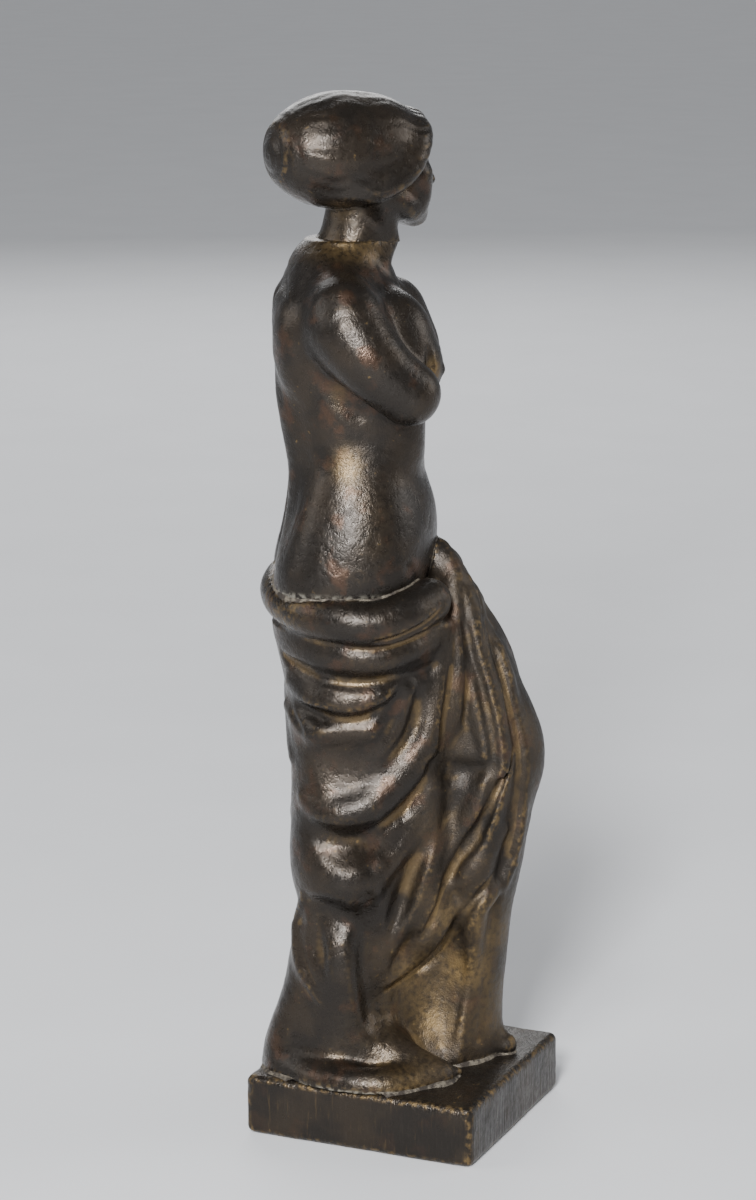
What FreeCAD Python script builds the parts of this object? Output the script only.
"""Bronze statuette of a draped standing woman on a square plinth.

The figure is three castings, the head, the torso and the draped legs, on a cast plinth. Plain pins align
the joints, soft solder fills the two open seams, and one screw from below holds the figure to the plinth.
Millimetres, +Z up. The origin is the middle of the plinth's underside, and the plinth's front faces -Y.
"left" and "right" are the figure's own sides: its left is +X.
"""

import FreeCAD, Part
import Sketcher
import os

UP = FreeCAD.Vector(0, 0, 1)

doc = FreeCAD.newDocument("statuette")
sheet = doc.addObject("Spreadsheet::Sheet", "dims")


# --- driving dimensions ---------------------------------------------------------------------------------

DIMENSIONS = {
    "plinth": {
        "plinth_side": 37.8,
        "plinth_height": 9.5,
        "plinth_corner": 1.6,
        "plinth_edge": 0.7,
        "recess_side": 27.8,
        "recess_depth": 3.6,
    },
    "fixings": {
        "screw_x": -4.0,
        "screw_y": 5.0,
        "screw_radius": 2.0,
        "screw_clearance": 0.25,
        "screw_length": 17.0,
        "screw_head_radius": 3.5,
        "screw_head_round": 1.0,
        "screw_head_height": 1.8,
        "slot_width": 0.9,
        "slot_length": 10.5,
        "slot_depth": 0.8,
        "washer_radius": 4.5,
        "washer_thickness": 0.8,
        "base_pin_x": 6.0,
        "base_pin_y": -4.0,
        "base_pin_radius": 1.5,
        "base_pin_below": 3.5,
        "base_pin_above": 5.0,
        "hip_pin_radius": 3.0,
        "hip_pin_below": 10.0,
        "hip_pin_above": 12.0,
        "key_pin_radius": 1.0,
        "key_pin_reach": 4.0,
        "key_pin_offset": 8.0,
        "neck_pin_radius": 1.5,
        "neck_pin_reach": 4.5,
    },
    "joints": {
        "hip_joint_z": 81.0,
        "hip_seam_z": 86.0,
        "neck_joint_z": 138.0,
        "torso_turn": 25.0,
        "torso_x": -1.2,
        "torso_y": 8.1,
        "head_turn": 48.0,
        "head_x": 0.3,
        "head_y": 6.1,
        "head_z": 150.2,
        "seam_width": 1.1,
        "seam_top_width": 0.1375,
        "cutter_side": 113.4,
        "seam_height": 0.9,
    },
}

# Each station is (x, y, z, radius along the turned axis, radius across it, turn in degrees). The torso's
# are in the torso's own turned frame, and all the others in the statuette's.
RIGHT_LEG = [
    (-7.2, 7.2, 9.5, 10.0, 9.0, 90),
    (-8.0, 7.2, 16, 8.6, 8.0, 90),
    (-8.3, 7.2, 26, 7.8, 7.2, 90),
    (-8.3, 7.2, 36, 8.0, 7.6, 90),
    (-8.0, 7.0, 46, 9.2, 8.6, 90),
    (-7.0, 6.2, 58, 10.0, 9.4, 90),
    (-5.5, 6.0, 72, 11.8, 11.0, 90),
]
LEFT_LEG = [
    (5.5, -4.0, 9.5, 10.2, 9.6, 0),
    (5.5, -4.0, 18, 9.6, 9.4, 0),
    (6.0, -5.0, 32, 9.4, 9.4, 0),
    (6.5, -7.4, 46, 9.8, 9.8, 0),
    (7.0, -9.0, 57, 9.8, 9.8, 0),
    (7.0, -7.6, 65, 9.8, 9.8, 0),
    (6.5, -3.6, 74, 10.8, 10.4, 0),
    (6.0, 1.0, 81, 10.4, 10.0, 0),
]
SKIRT = [
    (-1.0, 2.6, 9.5, 14.6, 8.6, -42),
    (-1.0, 2.4, 30, 13.0, 8.4, -42),
    (-0.6, 1.4, 50, 14.0, 9.6, -42),
    (-0.4, 1.4, 66, 15.6, 11.4, -30),
    (-0.8, 4.0, 80, 15.4, 12.6, -10),
]
PELVIS = [
    (0.0, 3.0, 58, 13.0, 10.6, 0),
    (-0.8, 4.4, 68, 14.8, 12.0, 0),
    (-1.0, 5.4, 76, 15.8, 13.6, 0),
    (-1.0, 5.8, 84, 16.0, 14.6, 0),
]
HIP_ROLL = [
    (-1.0, 5.8, 75.4, 15.4, 13.6, 4),
    (-1.0, 5.8, 76.6, 16.4, 14.8, 4),
    (-1.0, 5.8, 78.4, 16.6, 15.2, 4),
    (-1.0, 5.8, 79.8, 16.0, 15.0, 4),
    (-1.0, 5.8, 81.4, 16.8, 16.0, 4),
    (-1.0, 5.8, 84.2, 16.8, 16.2, 4),
    (-1.0, 5.8, 86.0, 15.8, 15.0, 4),
]
TORSO = [
    (0.0, -0.2, 81, 14.6, 11.9, 0),
    (0.0, -0.1, 88, 14.8, 12.0, 0),
    (0.0, 0.1, 95, 13.9, 11.5, 0),
    (0.0, 0.3, 101, 12.4, 10.8, 0),
    (0.0, 0.4, 107, 11.7, 10.5, 0),
    (0.0, 0.2, 114, 12.6, 11.0, 0),
    (0.0, 0.4, 121, 13.6, 11.4, 0),
    (0.0, 0.8, 127, 13.4, 11.0, 0),
    (0.0, 1.4, 132, 10.8, 9.0, 0),
    (0.0, 0.9, 135.5, 7.2, 6.8, 0),
    (0.0, 0.3, 138, 5.4, 5.2, 0),
]
NECK = [
    (-1.3, 8.4, 138, 5.4, 5.2, 25),
    (-0.6, 7.8, 141, 5.2, 5.0, 25),
    (0.2, 7.0, 147, 5.4, 5.2, 25),
]

# Each mass is (x, y, z, radius in x, radius in y, radius in z, tilt axis, tilt in degrees).
TORSO_MASSES = {
    "right_breast": (-5.8, -7.2, 119.4, 5.8, 6.4, 5.6, "x", -8),
    "left_breast": (5.8, -7.2, 120.0, 5.8, 6.4, 5.6, "x", -8),
    "nape": (0.0, 3.2, 133.2, 9.4, 6.4, 4.6, "x", 0),
    "right_shoulder": (-13.2, 1.0, 127.2, 5.2, 5.8, 6.2, "x", 0),
    "left_shoulder": (13.2, 0.6, 128.0, 5.4, 5.8, 6.0, "x", 0),
    "right_arm": (-14.8, -4.0, 120.2, 4.9, 5.2, 11.6, "x", -32),
    "left_arm_stump": (15.0, -2.2, 125.6, 4.9, 5.4, 6.6, "x", -30),
    "right_buttock": (-6.2, 5.2, 88.4, 7.4, 7.2, 8.4, "x", 0),
    "left_buttock": (6.2, 5.2, 88.4, 7.4, 7.2, 8.4, "x", 0),
    "belly": (0.0, -5.4, 95.6, 9.0, 7.0, 9.6, "x", 0),
}
# The face follows the proportions of drawing textbooks alone. The figure is seven and a half heads tall, so the
# head is 20.1 high and its chin is 10.3 below the middle of its frame. Brows, nose and chin are 5.7 apart, so
# the brows are at 1.2 and the nose ends at -4.5. The head is 13.4 across, 17.6 deep and five noses wide.
HEAD_MASSES = {
    "skull": (0.0, 0.0, 0.6, 6.7, 8.8, 9.2, "x", 0),
    "face": (0.0, -3.1, -4.5, 5.7, 5.7, 5.8, "x", 0),
    "nose": (0.0, -8.8, -2.5, 1.3, 1.7, 2.0, "x", -16),
    "hair": (0.0, 2.2, 1.0, 9.0, 9.2, 8.6, "x", 0),
    "bun": (0.0, 11.2, 0.2, 6.4, 6.2, 6.8, "x", 0),
}
DRAPERY_MASSES = {
    "left_hip_bunch": (7.0, -1.5, 81.0, 6.0, 7.6, 12.0, "x", 0),
    "knee": (7.2, -10.2, 58.0, 7.6, 7.8, 8.8, "x", 0),
    "upper_swag": (-7.4, 6.6, 68.5, 10.2, 10.4, 4.6, "y", 12),
    "lower_swag": (-7.8, 6.4, 54.0, 9.8, 10.4, 5.4, "y", 14),
    "calf": (-8.3, 7.6, 40.0, 8.6, 8.8, 10.0, "x", 0),
    "front_fold_outer": (1.5, -7.6, 68.0, 2.6, 3.4, 17.0, "x", -14),
    "front_fold_inner": (-3.0, -6.0, 68.0, 2.6, 3.4, 15.0, "x", -8),
    "shin_fold": (-0.6, -3.6, 40.0, 3.4, 4.8, 21.0, "y", 26),
    "back_fold": (1.6, 9.2, 48.0, 4.0, 4.6, 27.0, "y", -12),
    "train": (-3.0, 11.2, 15.0, 11.0, 7.2, 12.0, "x", 0),
    "right_foot": (-6.0, -4.6, 11.0, 4.6, 9.0, 3.6, "x", 0),
}


def fill_sheet():
    """Writes every driving dimension into the sheet, one alias a row, as plain numbers."""
    rows = [(alias, value) for group in DIMENSIONS.values() for alias, value in group.items()]
    for name, stations in STATION_LISTS.items():
        for i, station in enumerate(stations):
            rows += [(f"{name}_{word}_{i}", v) for word, v in zip(STATION_WORDS, station)]
    for masses in (TORSO_MASSES, HEAD_MASSES, DRAPERY_MASSES):
        for name, mass in masses.items():
            sizes = mass[:6] + mass[7:]
            rows += [(f"{name}_{word}", v) for word, v in zip(MASS_WORDS, sizes)]
    for row, (alias, value) in enumerate(rows, start=1):
        sheet.set(f"A{row}", alias)
        sheet.set(f"B{row}", str(value))
        sheet.setAlias(f"B{row}", alias)
    doc.recompute()


SIDE = "dims.plinth_side"
TOP = "dims.plinth_height"
UNDER_HEAD = "(dims.recess_depth - dims.washer_thickness)"
SCREW_AXIS = ("dims.screw_x", "dims.screw_y")
CLEAR_RADIUS = "dims.screw_radius + dims.screw_clearance"
HEAD_RADIUS, HEAD_HEIGHT = "dims.screw_head_radius", "dims.screw_head_height"
PIN_FOOT = "dims.plinth_height - dims.base_pin_below"
HIP_RING = (
    "dims.torso_x",
    "dims.torso_y",
    "dims.hip_seam_z",
    "dims.torso_core_long_1",
    "dims.torso_core_across_1",
)
FOOT_RING = (
    "dims.left_leg_x_0",
    "dims.left_leg_y_0",
    TOP,
    "dims.left_leg_long_0",
    "dims.left_leg_across_0",
)
FIXINGS_IN = {
    "torso": ("hip_pin", "key_pin", "neck_pin"),
    "head": ("neck_pin",),
    "draped_legs": ("hip_pin", "key_pin", "base_pin", "base_screw"),
}
STATION_WORDS = ("x", "y", "z", "long", "across", "turn")
MASS_WORDS = ("x", "y", "z", "wide", "deep", "high", "tilt")
STATION_LISTS = {
    "right_leg": RIGHT_LEG,
    "left_leg": LEFT_LEG,
    "skirt": SKIRT,
    "pelvis": PELVIS,
    "hip_roll": HIP_ROLL,
    "torso_core": TORSO,
    "neck": NECK,
}
fill_sheet()


# --- small builders -------------------------------------------------------------------------------------


def bind(thing, **expressions):
    """Sets properties of a document object from expressions on the sheet. x, y, z and turn place it."""
    paths = {"x": ".Placement.Base.x", "y": ".Placement.Base.y", "z": ".Placement.Base.z"}
    paths["turn"] = ".Placement.Rotation.Angle"
    for name, expression in expressions.items():
        thing.setExpression(paths.get(name, name), expression)
    return thing


def add(kind, name, **expressions):
    return bind(doc.addObject(kind, name), **expressions)


def loft(name):
    """A smooth solid through a list of elliptical stations."""
    sections = []
    for i in range(len(STATION_LISTS[name])):
        ring = doc.addObject("Part::Ellipse", f"{name}_ring_{i}")
        ring.Placement.Rotation = FreeCAD.Rotation(UP, 1)
        cell = f"dims.{name}_%s_{i}"
        bind(
            ring,
            MajorRadius=cell % "long",
            MinorRadius=cell % "across",
            x=cell % "x",
            y=cell % "y",
            z=cell % "z",
            turn=cell % "turn",
        )
        sections.append(ring)
    body = doc.addObject("Part::Loft", name)
    body.Sections = sections
    body.Solid = True
    return body


def mass(name, axis):
    """An ellipsoid: the simplest closed form of one muscle, fold or lock."""
    body = doc.addObject("Part::Ellipsoid", name)
    body.Angle1, body.Angle2, body.Angle3 = -90, 90, 360
    body.Placement.Rotation = FreeCAD.Rotation(FreeCAD.Vector(axis == "x", axis == "y", 0), 1)
    cell = f"dims.{name}_"
    return bind(
        body,
        Radius1=cell + "high",
        Radius2=cell + "wide",
        Radius3=cell + "deep",
        x=cell + "x",
        y=cell + "y",
        z=cell + "z",
        turn=cell + "tilt",
    )


def masses(table):
    return [mass(name, row[6]) for name, row in table.items()]


def fuse(name, pieces):
    """The pieces joined into one; a single piece stays as it is."""
    if len(pieces) == 1:
        return pieces[0]
    body = doc.addObject("Part::MultiFuse", name)
    body.Shapes = pieces
    body.Refine = False
    return body


def cut(name, base, tool):
    body = doc.addObject("Part::Cut", name)
    body.Base, body.Tool = base, tool
    body.Refine = False
    return body


def cylinder(name, **expressions):
    return add("Part::Cylinder", name, **expressions)


def origin_plane(body, role):
    """One of a PartDesign body's own origin planes."""
    return next(f for f in body.Origin.OriginFeatures if f.Role == role)


def sketch_at(body, name, x="0", y="0", z="0"):
    """A sketch parallel to the body's XY plane, with its own origin at x, y, z."""
    sketch = body.newObject("Sketcher::SketchObject", name)
    sketch.AttachmentSupport = (origin_plane(body, "XY_Plane"), "")
    sketch.MapMode = "FlatFace"
    for axis, expression in (("x", x), ("y", y), ("z", z)):
        sketch.setExpression(f".AttachmentOffset.Base.{axis}", expression)
    return sketch


def constrain(sketch, constraint, expression):
    """Adds a dimension to a sketch and binds it to the sheet."""
    index = sketch.addConstraint(constraint)
    sketch.setExpression(f"Constraints[{index}]", expression)


def rectangle(sketch, width, depth):
    """A rectangle centred on the sketch's origin."""
    corners = [FreeCAD.Vector(x, y, 0) for x, y in ((-1, -1), (1, -1), (1, 1), (-1, 1))]
    for i in range(4):
        sketch.addGeometry(Part.LineSegment(corners[i], corners[(i + 1) % 4]), False)
    for i in range(4):
        sketch.addConstraint(Sketcher.Constraint("Coincident", i, 2, (i + 1) % 4, 1))
        sketch.addConstraint(Sketcher.Constraint("Vertical" if i % 2 else "Horizontal", i))
    sketch.addConstraint(Sketcher.Constraint("Symmetric", 0, 1, 2, 1, -1, 1))
    constrain(sketch, Sketcher.Constraint("DistanceX", 0, 1, 0, 2, 2.0), width)
    constrain(sketch, Sketcher.Constraint("DistanceY", 1, 1, 1, 2, 2.0), depth)
    return sketch


def circle(sketch, radius):
    """A circle round the sketch's origin."""
    sketch.addGeometry(Part.Circle(FreeCAD.Vector(0, 0, 0), UP, 1.0), False)
    sketch.addConstraint(Sketcher.Constraint("Coincident", 0, 3, -1, 1))
    constrain(sketch, Sketcher.Constraint("Radius", 0, 1.0), radius)
    return sketch


def pad(body, name, sketch, length):
    """Raises a sketch into solid."""
    block = body.newObject("PartDesign::Pad", name)
    block.Profile = sketch
    block.setExpression("Length", length)
    doc.recompute()
    return block


def pocket(body, name, sketch, depth=None):
    """Cuts a sketch on the XY plane upwards into the body: to a cell's depth, or right through."""
    before = body.Shape.Volume
    hole = body.newObject("PartDesign::Pocket", name)
    hole.Profile = sketch
    hole.Reversed = True
    if depth:
        hole.setExpression("Length", depth)
    else:
        hole.Type = "ThroughAll"
    doc.recompute()
    assert body.Shape.Volume < before, f"{name} cuts nothing"
    return hole


def is_upright(edge):
    """Whether an edge runs straight up."""
    return edge.BoundBox.ZLength > 1e-6 and edge.BoundBox.DiagonalLength - edge.BoundBox.ZLength < 1e-6


def is_at(height):
    """A test for edges that lie level at a height."""
    level = doc.getObject("dims").evalExpression(height)
    return lambda edge: edge.BoundBox.ZLength < 1e-6 and abs(edge.BoundBox.ZMin - level) < 1e-6


def dress(body, kind, name, edges, size, cell):
    """A fillet or chamfer on the edges of the body's last feature that the test picks."""
    base = body.Tip
    names = [f"Edge{i}" for i, edge in enumerate(base.Shape.Edges, start=1) if edges(edge)]
    feature = body.newObject(kind, name)
    feature.Base = (base, names)
    feature.setExpression(size, cell)
    doc.recompute()
    return feature


# --- the sub-parts --------------------------------------------------------------------------------------


def make_plinth():
    """The cast slab: eased corners and top edge, a shallow recess below, and two holes for the fixings."""
    body = doc.addObject("PartDesign::Body", "plinth")
    pad(body, "slab", rectangle(sketch_at(body, "slab_outline"), SIDE, SIDE), TOP)
    dress(body, "PartDesign::Fillet", "corners", is_upright, "Radius", "dims.plinth_corner")
    dress(body, "PartDesign::Fillet", "top_edge", is_at(TOP), "Radius", "dims.plinth_edge")
    recess = rectangle(sketch_at(body, "recess_outline"), "dims.recess_side", "dims.recess_side")
    pocket(body, "recess", recess, "dims.recess_depth")
    screw_circle = circle(sketch_at(body, "screw_circle", *SCREW_AXIS), CLEAR_RADIUS)
    pocket(body, "screw_hole", screw_circle)
    pin_sketch = sketch_at(body, "pin_circle", "dims.base_pin_x", "dims.base_pin_y", PIN_FOOT)
    pocket(body, "pin_hole", circle(pin_sketch, "dims.base_pin_radius"))
    return body


def below(name, height_cell):
    """A block that takes away everything under a height."""
    half = "-dims.cutter_side / 2"
    side = "dims.cutter_side"
    return add("Part::Box", name, Length=side, Width=side, Height=height_cell, x=half, y=half)


def turned(thing, x, y, z, turn):
    """Places a joined group of shapes by cells, turned about the upright axis."""
    thing.Placement.Rotation = FreeCAD.Rotation(UP, 1)
    return bind(thing, x=x, y=y, z=z, turn=turn)


def make_torso():
    """Hips, waist, chest and shoulders, with the right upper arm and the left arm's stump."""
    flesh = fuse("torso_flesh", [loft("torso_core")] + masses(TORSO_MASSES))
    standing = cut("torso_on_hips", flesh, below("under_hip_joint", "dims.hip_joint_z"))
    return turned(standing, "dims.torso_x", "dims.torso_y", "0", "dims.torso_turn")


def make_head():
    """Neck, face, hair and bun, turned to the figure's left."""
    skull = fuse("head_masses", masses(HEAD_MASSES))
    turned(skull, "dims.head_x", "dims.head_y", "dims.head_z", "dims.head_turn")
    return fuse("head_and_neck", [skull, loft("neck")])


def make_draped_legs(torso):
    """Both legs under the cloth: the hip roll that the torso sits in, the folds, the train and the foot."""
    lofts = [loft(name) for name in ("right_leg", "left_leg", "skirt", "pelvis", "hip_roll")]
    cloth = fuse("cloth", lofts + masses(DRAPERY_MASSES))
    standing = cut("cloth_on_plinth", cloth, below("under_figure", "dims.plinth_height"))
    return cut("cloth_with_socket", standing, torso)


def make_hip_pin():
    """The stout plain pin on the torso's axis, half in the legs and half in the torso."""
    height = "dims.hip_pin_below + dims.hip_pin_above"
    pin = cylinder("hip_pin", Radius="dims.hip_pin_radius", Height=height)
    return bind(pin, x="dims.torso_x", y="dims.torso_y", z="dims.hip_joint_z - dims.hip_pin_below")


def make_key_pin():
    """The thin pin beside the hip pin, which stops the torso from turning."""
    pin = cylinder("key_pin", Radius="dims.key_pin_radius", Height="2 * dims.key_pin_reach")
    x = "dims.torso_x + dims.key_pin_offset * cos(dims.torso_turn * 1deg)"
    y = "dims.torso_y + dims.key_pin_offset * sin(dims.torso_turn * 1deg)"
    return bind(pin, x=x, y=y, z="dims.hip_joint_z - dims.key_pin_reach")


def make_neck_pin():
    """The pin up the middle of the neck joint."""
    pin = cylinder("neck_pin", Radius="dims.neck_pin_radius", Height="2 * dims.neck_pin_reach")
    return bind(pin, x="dims.neck_x_0", y="dims.neck_y_0", z="dims.neck_joint_z - dims.neck_pin_reach")


def make_base_pin():
    """The short pin that keeps the figure square on the plinth."""
    height = "dims.base_pin_below + dims.base_pin_above"
    pin = cylinder("base_pin", Radius="dims.base_pin_radius", Height=height)
    return bind(pin, x="dims.base_pin_x", y="dims.base_pin_y", z=PIN_FOOT)


def make_base_screw():
    """The slotted screw up through the plinth, which holds the figure down."""
    body = doc.addObject("PartDesign::Body", "base_screw")
    foot = f"{UNDER_HEAD} - dims.screw_head_height"
    head = circle(sketch_at(body, "head_circle", *SCREW_AXIS, foot), HEAD_RADIUS)
    pad(body, "screw_head", head, HEAD_HEIGHT)
    dress(body, "PartDesign::Fillet", "head_round", is_at(foot), "Radius", "dims.screw_head_round")
    shank = circle(sketch_at(body, "shank_circle", *SCREW_AXIS, UNDER_HEAD), "dims.screw_radius")
    pad(body, "screw_shank", shank, "dims.screw_length")
    slot = sketch_at(body, "slot_outline", *SCREW_AXIS, foot)
    slot = rectangle(slot, "dims.slot_width", "dims.slot_length")
    pocket(body, "screw_slot", slot, "dims.slot_depth")
    return body


def make_base_washer():
    """The plain washer between the screw's head and the plinth."""
    place = {"x": SCREW_AXIS[0], "y": SCREW_AXIS[1], "z": UNDER_HEAD, "Height": "dims.washer_thickness"}
    disc = cylinder("washer_disc", Radius="dims.washer_radius", **place)
    hole = cylinder("washer_hole", Radius=CLEAR_RADIUS, **place)
    return cut("base_washer", disc, hole)


def make_seam(name, ring_cells, turn, neighbours):
    """A bead of solder round an elliptical joint: a band that tapers upwards, less what it lies against."""
    x, y, z, long, across = ring_cells
    rings = []
    for rise, grow in (("0", "dims.seam_width"), ("dims.seam_height", "dims.seam_top_width")):
        ring = doc.addObject("Part::Ellipse", f"{name}_ring_{len(rings)}")
        bind(ring, MajorRadius=f"{long} + {grow}", MinorRadius=f"{across} + {grow}")
        rings.append(turned(ring, x, y, f"{z} + {rise}", turn))
    band = doc.addObject("Part::Loft", f"{name}_band")
    band.Sections = rings
    band.Solid = True
    for neighbour in neighbours:
        band = cut(f"{name}_clear_of_{neighbour.Name}", band, neighbour)
    return band


def drilled(body, name, holes):
    """A casting less the pins and screws that pass into it."""
    return cut(name, body, fuse(f"{name}_holes", holes))


def make_statuette():
    """Every sub-part in its place: its name and its document object."""
    parts = {
        "plinth": make_plinth(),
        "hip_pin": make_hip_pin(),
        "key_pin": make_key_pin(),
        "neck_pin": make_neck_pin(),
        "base_pin": make_base_pin(),
        "base_screw": make_base_screw(),
        "base_washer": make_base_washer(),
    }
    torso = make_torso()
    legs = make_draped_legs(torso)
    parts["hip_solder_seam"] = make_seam("hip_solder_seam", HIP_RING, "dims.torso_turn", [torso, legs])
    parts["base_solder_seam"] = make_seam("base_solder_seam", FOOT_RING, "0", [legs])
    for name, blank in (("torso", torso), ("head", make_head()), ("draped_legs", legs)):
        parts[name] = drilled(blank, name, [parts[pin] for pin in FIXINGS_IN[name]])
    return parts


def check(parts):
    """Stops unless every object of the document and every sub-part's shape is sound."""
    for thing in doc.Objects:
        if "Invalid" in thing.State or "Error" in thing.State:
            raise RuntimeError(f"{thing.Name} failed: {thing.State}")
    for name, thing in parts.items():
        if thing.Shape.isNull() or not thing.Shape.isValid() or not thing.Shape.Solids:
            raise RuntimeError(f"{name} has no sound shape")


statuette = make_statuette()
doc.recompute()
check(statuette)
os.makedirs("parts", exist_ok=True)
for name, thing in statuette.items():
    thing.Label = name
    thing.Shape.exportStep(f"parts/{name}.step")
    print(f"{name}: {thing.Shape.Volume:.1f} mm3 in {len(thing.Shape.Solids)} solids")
